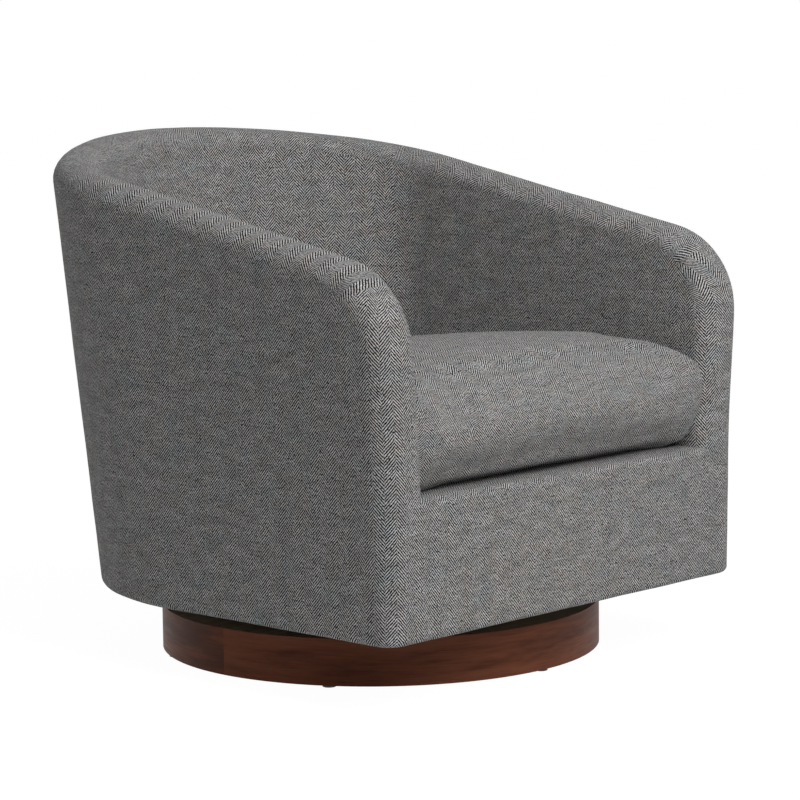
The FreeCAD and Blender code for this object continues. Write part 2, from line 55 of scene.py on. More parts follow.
# The upholstered barrel, in metres: its walls lean out, and the rim is one straight slope. Each wall's plan
# is a straight arm, a side arc and a back arc. A lean is what a metre of height adds, a seam a plan measure
barrel = {
    "bottom": 0.095, "deck": 0.285,
    "front": -0.367, "armHeight": 0.579, "rimSlope": 0.196,
    "noseRadius": 0.126, "outerRound": 0.031, "innerRound": 0.028,
    "footRound": 0.009, "lipRound": 0.010, "tuck": 0.014, "leastRound": 0.0002,
    "outside": {"width": 0.368, "widthLean": 0.020, "bend": 0.065, "bendLean": 0.190,
                "reach": 0.416, "reachLean": 0.096, "from": 0.095},
    "inside": {"width": 0.291, "widthLean": 0.045, "bend": 0.195, "bendLean": 0.0,
               "reach": 0.345, "reachLean": 0.120, "from": 0.285},
    "outsideSeam": 2.17, "insideSeam": 1.62,
    "clothThickness": 0.002, "weld": 0.00004, "seamReach": 0.0001,
    "softness": 0.0006, "softScale": 9.0, "softDetail": 2.3, "softShare": 0.5,
    "swell": 0.010, "swellDepth": 0.36, "swellHeight": 0.24, "swellEdge": 0.06,
    "switchTurn": 0.75,
}

# How finely the cloth is laid out: rows and columns, and the spacing of cuts along the arm's rim in metres
steps = {"armUpper": 12, "armLower": 12, "nose": 12, "outerBend": 18, "outerBack": 22, "rimSpacing": 0.016,
         "round": 8, "flat": 4, "foot": 5, "lip": 4, "panel": 46, "deckAcross": 40, "deckBack": 30}

# How far below the rim a wall's lean is read, where along a cut each wall is looked for, and how often
search = {"depth": 0.04, "outside": (-0.06, 0.06), "inside": (0.03, 0.30), "halvings": 40, "settles": 30}

slopeRoot = math.sqrt(1.0 + barrel["rimSlope"] ** 2)
noseY = barrel["front"] + barrel["noseRadius"]
noseZ = barrel["armHeight"] + barrel["noseRadius"] * (barrel["rimSlope"] - slopeRoot)
noseEnd = math.atan2(1.0, barrel["rimSlope"])
lipTop = barrel["deck"] - barrel["lipRound"]
footTop = barrel["bottom"] + barrel["footRound"]
firstColumn = barrel["front"] + barrel["outerRound"]


# A wall's plan at one height: half width, where the arm ends, reach of the back, side radius, back radius
def planAt(form, z, inset=0.0):
    up = z - form["from"]
    width = form["width"] + form["widthLean"] * up - inset
    bend = form["bend"] + form["bendLean"] * up
    reach = form["reach"] + form["reachLean"] * up - inset
    shift = (width - (reach - bend)) / (math.sqrt(2.0) - 1.0)
    side = width - shift * math.sqrt(0.5)
    back = reach - bend + shift * math.sqrt(0.5)
    return width, bend, reach, side, back


# A plan's own measure t: 0 to 1 along the arm, to 2 round the side, to 3 at the middle of the back
def planPoint(plan, t, start):
    width, bend, reach, side, back = plan
    if t <= 1.0:
        return width, start + t * (bend - start)
    if t <= 2.0:
        angle = (t - 1.0) * math.pi / 4.0
        return width - side + side * math.cos(angle), bend + side * math.sin(angle)
    angle = (t - 1.0) * math.pi / 4.0
    return back * math.cos(angle), reach - back + back * math.sin(angle)


def planMeasure(plan, x, y, start):
    width, bend, reach, side, back = plan
    if y <= bend:
        return (y - start) / (bend - start)
    angle = math.atan2(y - bend, x - width + side)
    if angle > math.pi / 4.0:
        angle = math.atan2(y - reach + back, x)
    return 1.0 + angle / (math.pi / 4.0)


def planOutward(t):
    angle = max(0.0, t - 1.0) * math.pi / 4.0
    return math.cos(angle), math.sin(angle)


def planLength(plan, t, start):
    bend, side, back = plan[1], plan[3], plan[4]
    length = min(t, 1.0) * (bend - start)
    length += min(max(t - 1.0, 0.0), 1.0) * math.pi / 4.0 * side
    return length + max(t - 2.0, 0.0) * math.pi / 4.0 * back


# How far a point stands outside a plan
def planGap(plan, x, y):
    width, bend, reach, side, back = plan
    if y <= bend:
        return x - width
    angle = math.atan2(y - bend, x - width + side)
    if angle <= math.pi / 4.0:
        return math.hypot(x - width + side, y - bend) - side
    return math.hypot(x, y - reach + back) - back


# Distance along a line, from low to high, to where it meets a wall
def wallDistance(form, start, along, low, high):
    def gap(distance):
        spot = start + along * distance
        return planGap(planAt(form, spot.z), spot.x, spot.y)
    lowSide = gap(low) > 0.0
    for halving in range(search["halvings"]):
        middle = (low + high) / 2.0
        if (gap(middle) > 0.0) == lowSide:
            low = middle
        else:
            high = middle
    return (low + high) / 2.0


# Turns evenly from one direction to another
def slerp(first, last, share):
    angle = math.acos(max(-1.0, min(1.0, first[0] * last[0] + first[1] * last[1])))
    a = math.sin((1.0 - share) * angle) / math.sin(angle)
    b = math.sin(share * angle) / math.sin(angle)
    return a * first[0] + b * last[0], a * first[1] + b * last[1]


# One cut across the wall, square to the rim: points over the outer round, the flat top and the inner round
def crossCut(edge, inward, normal):
    depth = search["depth"]
    below = edge - normal * depth
    lean = wallDistance(barrel["outside"], below, inward, *search["outside"]) / depth
    top = wallDistance(barrel["inside"], edge, inward, *search["inside"])
    bottom = wallDistance(barrel["inside"], below, inward, *search["inside"])
    innerLean = (bottom - top) / depth
    radius = barrel["outerRound"]
    root = math.sqrt(1.0 + lean * lean)
    centre = (lean * radius + radius * root, radius)
    outer = []
    for step in range(steps["round"] + 1):
        across, deep = slerp((-1.0 / root, lean / root), (0.0, -1.0), step / steps["round"])
        outer.append((centre[0] + radius * across, centre[1] + radius * deep))
    radius = barrel["innerRound"]
    root = math.sqrt(1.0 + innerLean * innerLean)
    centre = (top + innerLean * radius - radius * root, radius)
    inner = []
    for step in range(steps["round"] + 1):
        across, deep = slerp((0.0, -1.0), (1.0 / root, -innerLean / root), step / steps["round"])
        inner.append((centre[0] + radius * across, centre[1] + radius * deep))
    flat = [(outer[-1][0] + (inner[0][0] - outer[-1][0]) * step / steps["flat"], 0.0)
            for step in range(steps["flat"] + 1)]

    def place(cut):
        return [edge + inward * a - normal * d for a, d in cut]
    return {"outer": place(outer), "inner": place(flat[:-1] + inner)}


# Cuts along the half at positive x: up the arm's front, over its nose, along the slope and round the back
def rimCuts():
    cuts = []
    heights = [footTop + (lipTop - footTop) * k / steps["armLower"] for k in range(steps["armLower"])]
    heights += [lipTop + (noseZ - lipTop) * k / steps["armUpper"] for k in range(steps["armUpper"])]
    outside = barrel["outside"]

    def armCut(y, z, normal):
        width = planAt(outside, z)[0]
        return crossCut(Vector((width, y, z)), Vector((-1.0, 0.0, 0.0)), normal)
    for z in heights:
        cuts.append(dict(armCut(barrel["front"], z, Vector((0.0, -1.0, 0.0))), turn=0.0))
    for k in range(steps["nose"] + 1):
        turn = noseEnd * k / steps["nose"]
        normal = Vector((0.0, -math.cos(turn), math.sin(turn)))
        y, z = noseY + barrel["noseRadius"] * normal.y, noseZ + barrel["noseRadius"] * normal.z
        cuts.append(dict(armCut(y, z, normal), turn=turn))
    rimNormal = Vector((0.0, -barrel["rimSlope"], 1.0)).normalized()

    def rimHeight(y):
        return barrel["armHeight"] + barrel["rimSlope"] * (y - barrel["front"])
    joinY = outside["bend"]
    for settle in range(search["settles"]):
        joinY = planAt(outside, rimHeight(joinY))[1]
    startY = noseY - barrel["noseRadius"] * math.cos(noseEnd)
    count = int((joinY - startY) / steps["rimSpacing"])
    for k in range(1, count + 1):
        y = startY + (joinY - startY) * k / count
        cuts.append(dict(armCut(y, rimHeight(y), rimNormal), turn=quarterTurn))
    measures = [1.0 + k / steps["outerBend"] for k in range(1, steps["outerBend"] + 1)]
    measures += [2.0 + k / steps["outerBack"] for k in range(1, steps["outerBack"] + 1)]
    for t in measures:
        z = barrel["armHeight"]
        for settle in range(search["settles"]):
            x, y = planPoint(planAt(outside, z), t, firstColumn)
            z = rimHeight(y)
        nx, ny = planOutward(t)
        inward = Vector((-nx, -ny, -barrel["rimSlope"] * ny))
        cuts.append(dict(crossCut(Vector((x, y, z)), inward, rimNormal), turn=quarterTurn))
    return cuts


cuts = rimCuts()
noseStart = steps["armLower"] + steps["armUpper"]
print("barrel worked out:", len(cuts), "cuts on each side")


# Each cover is made of grids: a grid is a list of columns, and a column a list of (place, u, v)
def lengthsAlong(points):
    total = [0.0]
    for a, b in zip(points, points[1:]):
        total.append(total[-1] + (b - a).length)
    return total


def wallMeasure(form, spot, start):
    return planMeasure(planAt(form, spot.z), spot.x, spot.y, start)


def wallSpot(form, t, z, start, inset=0.0):
    x, y = planPoint(planAt(form, z, inset), t, start)
    return Vector((x, y, z))


# The foot of a wall, round the lower edge and in underneath: (inset, height, length of cloth) for each row
def footRows():
    rows = []
    radius = barrel["footRound"]
    for step in range(1, steps["foot"] + 1):
        turn = quarterTurn * step / steps["foot"]
        inset, rise = radius * (1.0 - math.cos(turn)), radius * (1.0 - math.sin(turn))
        rows.append((inset, barrel["bottom"] + rise, radius * turn))
    for tuck in (barrel["tuck"] / 2.0, barrel["tuck"]):
        rows.append((radius + tuck, barrel["bottom"], radius * quarterTurn + tuck))
    return rows


# The weave's place across the outside: from the middle of the front, round the corner and along the side
def outsideAcross(t, z):
    plan = planAt(barrel["outside"], z)
    corner = barrel["outerRound"] * quarterTurn
    return plan[0] - barrel["outerRound"] + corner + planLength(plan, t, firstColumn)


def outsideWall():
    outside = barrel["outside"]
    firstHeights = [cuts[k]["outer"][0].z for k in range(noseStart + 1)]
    lowZ, highZ = firstHeights[0], firstHeights[-1]
    shares = [(z - lowZ) / (highZ - lowZ) for z in firstHeights]
    columns = []
    for cut in cuts[noseStart:]:
        top = cut["outer"][0]
        t = wallMeasure(outside, top, firstColumn)
        column = []
        for inset, z, along in reversed(footRows()):
            spot = wallSpot(outside, t, z, firstColumn, inset)
            column.append((spot, outsideAcross(t, lowZ), lowZ - along))
        for share in shares[:-1]:
            z = lowZ + (top.z - lowZ) * share
            spot = wallSpot(outside, t, z, firstColumn)
            column.append((spot, outsideAcross(t, z), z))
        column.append((top, outsideAcross(t, top.z), top.z))
        columns.append(column)
    return columns


# The weave's place along the rim: over the nose it is the rim's own length that counts
def railPlaces():
    noseLast = noseStart + steps["nose"]
    places = [0.0] * len(cuts)
    for k in range(noseLast, len(cuts)):
        foot = cuts[k]["outer"][0]
        places[k] = outsideAcross(wallMeasure(barrel["outside"], foot, firstColumn), foot.z)
    for k in range(noseLast - 1, -1, -1):
        places[k] = places[k + 1] - (cuts[k + 1]["outer"][-1] - cuts[k]["outer"][-1]).length
    return places


# The outer round of the rim, cut by cut. On the arm's front the weave stays upright, further back it runs
# over the rim
def outsideRound(first, last, upright):
    columns = []
    rail = railPlaces()
    for k in range(first, last + 1):
        points = cuts[k]["outer"]
        lengths = lengthsAlong(points)
        t = wallMeasure(barrel["outside"], points[0], firstColumn)
        across = outsideAcross(t, points[0].z)
        column = []
        for step, (spot, along) in enumerate(zip(points, lengths)):
            rise = (frontHeight(k) - points[0].z) * step / steps["round"]
            column.append((spot, across - along, points[0].z + rise) if upright
                          else (spot, rail[k], points[0].z + along))
        columns.append(column)
    return columns


# Height up the arm's front, measured on over the nose
def frontHeight(k):
    turn = cuts[k]["turn"]
    return noseZ + barrel["noseRadius"] * turn if k >= noseStart else cuts[k]["outer"][0].z


# The round corner between an arm's front and its outer side, below the first whole cut
def cornerFoot():
    columns = []
    outside = barrel["outside"]
    radius = barrel["outerRound"]
    for inset, z, along in reversed(footRows()):
        width = planAt(outside, z)[0]
        column = []
        for step in range(steps["round"] + 1):
            turn = quarterTurn * step / steps["round"]
            reach = max(radius - inset, barrel["leastRound"])
            x, y = width - radius + reach * math.cos(turn), firstColumn - reach * math.sin(turn)
            across = width - radius + radius * (quarterTurn - turn)
            column.append((Vector((x, y, z)), across, footTop - along))
        columns.append(column)
    points = cuts[0]["outer"]
    across = outsideAcross(0.0, points[0].z)
    columns.append([(spot, across - along, points[0].z)
                    for spot, along in zip(points, lengthsAlong(points))])
    return columns


# The flat top and the inner round of the rim
def insideBand(first, last, upright):
    columns = []
    rail = railPlaces()
    for k in range(first, last + 1):
        outer, inner = cuts[k]["outer"], cuts[k]["inner"]
        t = wallMeasure(barrel["outside"], outer[0], firstColumn)
        across = outsideAcross(t, outer[0].z)
        overRound = lengthsAlong(outer)[-1]
        column = [(spot, across - overRound - along, frontHeight(k)) if upright
                  else (spot, rail[k], outer[0].z + overRound + along)
                  for spot, along in zip(inner, lengthsAlong(inner))]
        columns.append(column[::-1])
    return columns


def firstInside():
    return barrel["front"] + barrel["innerRound"]


def insideAcross(t, z):
    plan = planAt(barrel["inside"], z)
    return plan[0] - barrel["innerRound"] * (quarterTurn - 1.0) - planLength(plan, t, firstInside())


# The wall that the sitter leans on, from the deck up to the rim's inner round
def insideWall():
    inside = barrel["inside"]
    firstHeights = [cuts[k]["inner"][-1].z for k in range(steps["armLower"], noseStart + 1)]
    lowZ, highZ = firstHeights[0], firstHeights[-1]
    shares = [(z - lowZ) / (highZ - lowZ) for z in firstHeights]
    columns = []
    for cut in cuts[noseStart:]:
        top = cut["inner"][-1]
        t = wallMeasure(inside, top, firstInside())
        column = []
        for share in shares[:-1]:
            z = lowZ + (top.z - lowZ) * share
            spot = wallSpot(inside, t, z, firstInside())
            column.append((spot, insideAcross(t, z), z))
        column.append((top, insideAcross(t, top.z), top.z))
        columns.append(column)
    return columns


# The panel under the cushion: flat, with a round foot, up to the deck's lip
def frontPanel():
    columns = []
    outside = barrel["outside"]
    radius = barrel["outerRound"]
    for k in range(steps["panel"] + 1):
        share = -1.0 + 2.0 * k / steps["panel"]
        column = []
        for inset, z, along in reversed(footRows()):
            x = (planAt(outside, z)[0] - radius) * share
            column.append((Vector((x, barrel["front"] + inset, z)), x, footTop - along))
        for step in range(steps["armLower"] + 1):
            z = footTop + (lipTop - footTop) * step / steps["armLower"]
            x = (planAt(outside, z)[0] - radius) * share
            column.append((Vector((x, barrel["front"], z)), x, z))
        columns.append(column)
    return columns


# The deck under the cushion, from the round lip over the front back to the inside wall
def deckSurface():
    columns = []
    radius = barrel["lipRound"]
    half = planAt(barrel["inside"], barrel["deck"])[0] + barrel["innerRound"]
    begin = barrel["front"] + radius
    for k in range(steps["deckAcross"] + 1):
        x = -half + 2.0 * half * k / steps["deckAcross"]
        column = []
        for step in range(steps["lip"] + 1):
            turn = quarterTurn * step / steps["lip"]
            y, z = barrel["front"] + radius * (1.0 - math.cos(turn)), lipTop + radius * math.sin(turn)
            column.append((Vector((x, y, z)), x, lipTop + radius * turn))
        reachHere = deckReach(x)
        for step in range(1, steps["deckBack"] + 1):
            y = begin + (reachHere - begin) * step / steps["deckBack"]
            column.append((Vector((x, y, barrel["deck"])), x, lipTop + radius * quarterTurn + y - begin))
        columns.append(column)
    return columns


# How far back the inside wall stands at one place across the deck
def deckReach(x):
    plan = planAt(barrel["inside"], barrel["deck"])
    width, bend, reach, side, back = plan
    across = min(abs(x), width)
    if across > width - side + side * math.sqrt(0.5):
        return bend + math.sqrt(max(side * side - (across - width + side) ** 2, 0.0))
    return reach - back + math.sqrt(back * back - across * across)


def mirrored(columns):
    return [[(Vector((-spot.x, spot.y, spot.z)), -u, v) for spot, u, v in column]
            for column in reversed(columns)]


# The arms are a little fuller at their front than the frame inside them
def swollen(spot):
    forward = max(0.0, min(1.0, 1.0 - (spot.y - barrel["front"]) / barrel["swellDepth"]))
    high = max(0.0, min(1.0, (spot.z - barrel["deck"]) / barrel["swellHeight"]))
    outward = max(0.0, min(1.0, (abs(spot.x) - barrel["inside"]["width"]) / barrel["swellEdge"]))
    swell = barrel["swell"] * forward * high * high * (3.0 - 2.0 * high) * outward
    return Vector((spot.x + math.copysign(swell, spot.x), spot.y, spot.z))


# Padding under cloth is never quite even
def softened(spot, normal):
    broad = spot * barrel["softScale"]
    wave = noise.noise(broad) + barrel["softShare"] * noise.noise(broad * barrel["softDetail"])
    return spot + normal * (wave * barrel["softness"])


def meshFromGrids(name, grids):
    mesh = bmesh.new()
    uvLayer = mesh.loops.layers.uv.new("weave")
    for grid in grids:
        rows = [[(mesh.verts.new(swollen(spot)), u, v) for spot, u, v in column] for column in grid]
        for left, right in zip(rows, rows[1:]):
            for k in range(len(left) - 1):
                corners = [left[k], right[k], right[k + 1], left[k + 1]]
                if len({tuple(c[0].co) for c in corners}) < 4:
                    continue
                face = mesh.faces.new([c[0] for c in corners])
                for loop, corner in zip(face.loops, corners):
                    loop[uvLayer].uv = (corner[1], corner[2])
    bmesh.ops.remove_doubles(mesh, verts=mesh.verts, dist=barrel["weld"])
    data = bpy.data.meshes.new(name)
    mesh.to_mesh(data)
    mesh.free()
    piece = bpy.data.objects.new(name, data)
    bpy.context.scene.collection.objects.link(piece)
    return piece


def pickOnly(piece):
    bpy.ops.object.select_all(action="DESELECT")
    piece.select_set(True)
    bpy.context.view_layer.objects.active = piece


def applyAll(piece):
    pickOnly(piece)
    for modifier in list(piece.modifiers):
        bpy.ops.object.modifier_apply(modifier=modifier.name)


# Every cover's bare surface is made first, so that covers which meet share one normal along their seam
def bareCover(name, grids, outwards):
    piece = meshFromGrids(name, grids)
    data = piece.data
    data.update()
    score = sum(face.normal.dot(outwards(face.center)) * face.area for face in data.polygons)
    if score < 0.0:
        data.flip_normals()
    return piece


# One smooth normal for every place, whichever covers meet there
def sharedNormals(pieces):
    count = sum(len(piece.data.vertices) for piece in pieces)
    tree = KDTree(count)
    pulls = []
    for piece in pieces:
        pull = [Vector() for vertex in piece.data.vertices]
        for face in piece.data.polygons:
            for corner in face.vertices:
                pull[corner] += face.normal * face.area
        for vertex in piece.data.vertices:
            tree.insert(vertex.co, len(pulls))
            pulls.append(pull[vertex.index])
    tree.balance()
    shared = {}
    for piece in pieces:
        normals = []
        for vertex in piece.data.vertices:
            total = Vector()
            for spot, index, distance in tree.find_range(vertex.co, barrel["seamReach"]):
                total += pulls[index]
            normals.append(total.normalized())
        shared[piece.name] = normals
    return shared


# Gives a bare cover its soft surface and its cloth thickness. Faces past twice the bare count are the
# edges, and vertices past the bare count are the inner side
def finishCover(piece, normals, node):
    data = piece.data
    for vertex, normal in zip(data.vertices, normals):
        vertex.co = softened(vertex.co, normal)
    data.transform(Matrix.Translation((0.0, axisY, 0.0)))
    faceCount, vertexCount = len(data.polygons), len(data.vertices)
    thick = piece.modifiers.new("thickness", "SOLIDIFY")
    thick.thickness = barrel["clothThickness"]
    thick.offset = -1.0
    applyAll(piece)
    bpy.ops.object.shade_smooth()
    data = piece.data
    directions = []
    for face in data.polygons:
        for corner in face.vertices:
            if face.index >= 2 * faceCount:
                directions.append(face.normal)
            elif corner < vertexCount:
                directions.append(normals[corner])
            else:
                directions.append(-normals[corner - vertexCount])
    data.normals_split_custom_set(directions)
    data.materials.append(cloth)
    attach(piece, "seat")
    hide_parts(node)


# Node helpers: each returns the socket that the next step reads
def nodeMath(tree, operation, *values):
    node = tree.nodes.new("ShaderNodeMath")
    node.operation = operation
    for socket, value in zip(node.inputs, values):
        if isinstance(value, (int, float)):
            socket.default_value = value
        else:
            tree.links.new(value, socket)
    return node.outputs[0]


def nodeMix(tree, share, first, second):
    node = tree.nodes.new("ShaderNodeMix")
    node.data_type = "RGBA"
    sockets = node.inputs["Factor"], node.inputs[6], node.inputs[7]
    for socket, value in zip(sockets, (share, first, second)):
        if isinstance(value, (tuple, float, int)):
            socket.default_value = (*value, 1.0) if isinstance(value, tuple) else value
        else:
            tree.links.new(value, socket)
    return node.outputs[2]


def nodeNoise(tree, vector, scale, detail, roughness):
    node = tree.nodes.new("ShaderNodeTexNoise")
    node.inputs["Scale"].default_value = scale
    node.inputs["Detail"].default_value = detail
    node.inputs["Roughness"].default_value = roughness
    tree.links.new(vector, node.inputs["Vector"])
    return node.outputs["Fac"]


def nodeRange(tree, value, fromLow, fromHigh, toLow=0.0, toHigh=1.0, smooth=False):
    node = tree.nodes.new("ShaderNodeMapRange")
    node.interpolation_type = "SMOOTHSTEP" if smooth else "LINEAR"
    for socket, number in zip(node.inputs[1:5], (fromLow, fromHigh, toLow, toHigh)):
        socket.default_value = number
    tree.links.new(value, node.inputs[0])
    return node.outputs[0]


def nodeStretch(tree, vector, scale):
    node = tree.nodes.new("ShaderNodeMapping")
    node.inputs["Scale"].default_value = scale
    tree.links.new(vector, node.inputs["Vector"])
    return node.outputs[0]


def nodeBump(tree, height, strength, distance):
    node = tree.nodes.new("ShaderNodeBump")
    node.inputs["Strength"].default_value = strength
    node.inputs["Distance"].default_value = distance
    tree.links.new(height, node.inputs["Height"])
    return node.outputs["Normal"]


def newMaterial(name):
    material = bpy.data.materials.new(name)
    material.use_nodes = True
    tree = material.node_tree
    return material, tree, tree.nodes["Principled BSDF"]


def objectCoords(tree):
    return tree.nodes.new("ShaderNodeTexCoord").outputs["Object"]


# The tweed, in metres. A noise is (scale, detail, roughness), and a tint fades in between two noise values
herringbone = {
    "column": 0.016, "pitch": 0.0047, "risePerColumn": 3.8,
    "waver": 0.0009, "waverScale": 60.0, "waverDetail": 2.0,
    "light": (0.93, 0.91, 0.91), "warm": (0.80, 0.74, 0.66), "cool": (0.66, 0.78, 0.82),
    "shade": (0.34, 0.33, 0.34), "dark": (0.004, 0.004, 0.004),
    "fleck": (340.0, 2.0, 0.6), "fleckPull": 0.8, "thread": (850.0, 1.0, 0.5), "threadPull": 0.5,
    "edge": (0.08, 0.42),
    "warmNoise": (38.0, 2.0, 0.6), "warmFade": (0.42, 0.68), "warmMost": 0.55,
    "coolNoise": (23.0, 2.0, 0.6), "coolFade": (0.50, 0.72), "coolMost": 0.5,
    "slubStretch": (30.0, 75.0, 1.0),
    "slubNoise": (1.0, 3.0, 0.6), "slubFade": (0.35, 0.65), "slubMost": 0.45,
    "roughness": 0.93, "specular": 0.25, "sheen": 0.05, "sheenRoughness": 0.55,
    "relief": 0.35, "reliefDepth": 0.0007,
}
# Where nearly all of a noise's values lie
noiseLow, noiseHigh = 0.3, 0.7


def herringboneCloth():
    material, tree, shader = newMaterial("herringboneTweed")
    values = herringbone
    uv = tree.nodes.new("ShaderNodeUVMap")
    uv.uv_map = "weave"
    weave = uv.outputs[0]
    drift = tree.nodes.new("ShaderNodeTexNoise")
    drift.inputs["Scale"].default_value = values["waverScale"]
    drift.inputs["Detail"].default_value = values["waverDetail"]
    tree.links.new(weave, drift.inputs["Vector"])
    wander = tree.nodes.new("ShaderNodeSeparateColor")
    tree.links.new(drift.outputs["Color"], wander.inputs[0])
    split = tree.nodes.new("ShaderNodeSeparateXYZ")
    tree.links.new(weave, split.inputs[0])

    def wavered(axis):
        shift = nodeRange(tree, wander.outputs[axis], 0.0, 1.0, -values["waver"], values["waver"])
        return nodeMath(tree, "ADD", split.outputs[axis], shift)

    # Each column's ribs climb one way and the next column's the other, half a rib apart
    column = nodeMath(tree, "DIVIDE", wavered(0), values["column"])
    zigzag = nodeMath(tree, "PINGPONG", column, 1.0)
    odd = nodeMath(tree, "FLOORED_MODULO", nodeMath(tree, "FLOOR", column), 2.0)
    phase = nodeMath(tree, "DIVIDE", wavered(1), values["pitch"])
    phase = nodeMath(tree, "ADD", phase, nodeMath(tree, "MULTIPLY", zigzag, values["risePerColumn"]))
    phase = nodeMath(tree, "ADD", phase, nodeMath(tree, "MULTIPLY", odd, 0.5))
    mixed = nodeMath(tree, "SINE", nodeMath(tree, "MULTIPLY", phase, 2.0 * math.pi))
    for name in ("fleck", "thread"):
        grain, pull = nodeNoise(tree, weave, *values[name]), values[name + "Pull"]
        mixed = nodeMath(tree, "ADD", mixed, nodeRange(tree, grain, noiseLow, noiseHigh, -pull, pull))
    light = nodeRange(tree, mixed, *values["edge"], smooth=True)

    def tinted(base, vector, name, colour):
        grain = nodeNoise(tree, vector, *values[name + "Noise"])
        share = nodeRange(tree, grain, *values[name + "Fade"], 0.0, values[name + "Most"])
        return nodeMix(tree, share, base, values[colour])
    yarn = tinted(values["light"], weave, "warm", "warm")
    yarn = tinted(yarn, weave, "cool", "cool")
    yarn = tinted(yarn, nodeStretch(tree, weave, values["slubStretch"]), "slub", "shade")
    tree.links.new(nodeMix(tree, light, values["dark"], yarn), shader.inputs["Base Color"])
    shader.inputs["Roughness"].default_value = values["roughness"]
    shader.inputs["Specular IOR Level"].default_value = values["specular"]
    shader.inputs["Sheen Weight"].default_value = values["sheen"]
    shader.inputs["Sheen Roughness"].default_value = values["sheenRoughness"]
    tree.links.new(nodeBump(tree, light, values["relief"], values["reliefDepth"]), shader.inputs["Normal"])
    return material


# The plinth's stained veneer: a stretch is along the drum, away from its axis and upwards
walnut = {
    "dark": (0.078, 0.024, 0.012), "middle": (0.215, 0.070, 0.036), "pale": (0.310, 0.122, 0.068),
    "grainStretch": (0.55, 8.0, 14.0), "grain": (2.6, 5.0, 0.62), "middleFade": (0.30, 0.55),
    "paleFade": (0.52, 0.78), "paleMost": 0.8,
    "poreStretch": (2.2, 120.0, 260.0), "pores": (2.2, 3.0, 0.6),
    "poreFade": (0.52, 0.72), "poreMost": 0.55,
    "roughness": (0.42, 0.56), "specular": 0.1, "relief": 0.15, "reliefDepth": 0.0004,
}


# Grain runs round the drum: the angle about the swivel axis becomes the grain's length
def walnutVeneer():
    material, tree, shader = newMaterial("walnutVeneer")
    values = walnut
    split = tree.nodes.new("ShaderNodeSeparateXYZ")
    tree.links.new(objectCoords(tree), split.inputs[0])
    side, height = split.outputs[0], split.outputs[2]
    away = nodeMath(tree, "SUBTRACT", split.outputs[1], axisY)
    angle = nodeMath(tree, "ARCTAN2", away, side)
    squares = [nodeMath(tree, "MULTIPLY", length, length) for length in (away, side)]
    across = nodeMath(tree, "POWER", nodeMath(tree, "ADD", *squares), 0.5)

    def roundTheDrum(stretch):
        join = tree.nodes.new("ShaderNodeCombineXYZ")
        for socket, place, factor in zip(join.inputs, (angle, across, height), stretch):
            tree.links.new(nodeMath(tree, "MULTIPLY", place, factor), socket)
        return join.outputs[0]
    broad = nodeNoise(tree, roundTheDrum(values["grainStretch"]), *values["grain"])
    pores = nodeNoise(tree, roundTheDrum(values["poreStretch"]), *values["pores"])
    middle = nodeRange(tree, broad, *values["middleFade"], smooth=True)
    colour = nodeMix(tree, middle, values["dark"], values["middle"])
    pale = nodeRange(tree, broad, *values["paleFade"], 0.0, values["paleMost"])
    colour = nodeMix(tree, pale, colour, values["pale"])
    pore = nodeRange(tree, pores, *values["poreFade"], 0.0, values["poreMost"])
    colour = nodeMix(tree, pore, colour, values["dark"])
    tree.links.new(colour, shader.inputs["Base Color"])
    gloss = nodeRange(tree, pores, noiseLow, noiseHigh, *values["roughness"])
    tree.links.new(gloss, shader.inputs["Roughness"])
    shader.inputs["Specular IOR Level"].default_value = values["specular"]
    tree.links.new(nodeBump(tree, pores, values["relief"], values["reliefDepth"]), shader.inputs["Normal"])
    return material


# Timber, ply, board, foam, wadding, jute and plastic inside: two colours, and how the grain is drawn out
plainStuffs = {
    "birch_ply": {"name": "birchPly", "dark": (0.42, 0.28, 0.15), "pale": (0.62, 0.46, 0.28),
                  "stretch": (3.0, 30.0, 160.0), "scale": 2.0, "roughness": 0.6, "relief": 0.2},
    "frame_timber": {"name": "frameTimber", "dark": (0.34, 0.21, 0.10), "pale": (0.52, 0.36, 0.20),
                     "stretch": (5.0, 40.0, 9.0), "scale": 4.0, "roughness": 0.65, "relief": 0.25},
    "fibreboard": {"name": "fibreboard", "dark": (0.17, 0.11, 0.06), "pale": (0.27, 0.19, 0.12),
                   "stretch": (60.0, 60.0, 60.0), "scale": 4.0, "roughness": 0.85, "relief": 0.3},
    "upholstery_foam": {"name": "upholsteryFoam", "dark": (0.62, 0.56, 0.38), "pale": (0.78, 0.73, 0.55),
                        "stretch": (90.0, 90.0, 90.0), "scale": 5.0, "roughness": 0.95, "relief": 0.6},
    "wadding": {"name": "wadding", "dark": (0.66, 0.66, 0.65), "pale": (0.86, 0.86, 0.85),
                "stretch": (25.0, 25.0, 25.0), "scale": 5.0, "roughness": 0.98, "relief": 0.8},
    "jute": {"name": "jutePad", "dark": (0.18, 0.11, 0.05), "pale": (0.36, 0.26, 0.14),
             "stretch": (120.0, 120.0, 120.0), "scale": 3.0, "roughness": 0.95, "relief": 0.9},
    "dust_cloth": {"name": "dustCloth", "dark": (0.008, 0.008, 0.008), "pale": (0.022, 0.022, 0.023),
                   "stretch": (200.0, 200.0, 200.0), "scale": 3.0, "roughness": 0.95, "relief": 0.5},
    "glide_plastic": {"name": "glidePlastic", "dark": (0.012, 0.012, 0.012), "pale": (0.03, 0.03, 0.03),
                      "stretch": (80.0, 80.0, 80.0), "scale": 3.0, "roughness": 0.5, "relief": 0.1},
}
grainLook = {"grain": (6.0, 0.6), "speckFiner": 9.0, "speck": (2.0, 0.6), "shares": (0.75, 0.25),
             "fade": (0.35, 0.65), "roughnessSpread": 0.08, "reliefDepth": 0.0008}


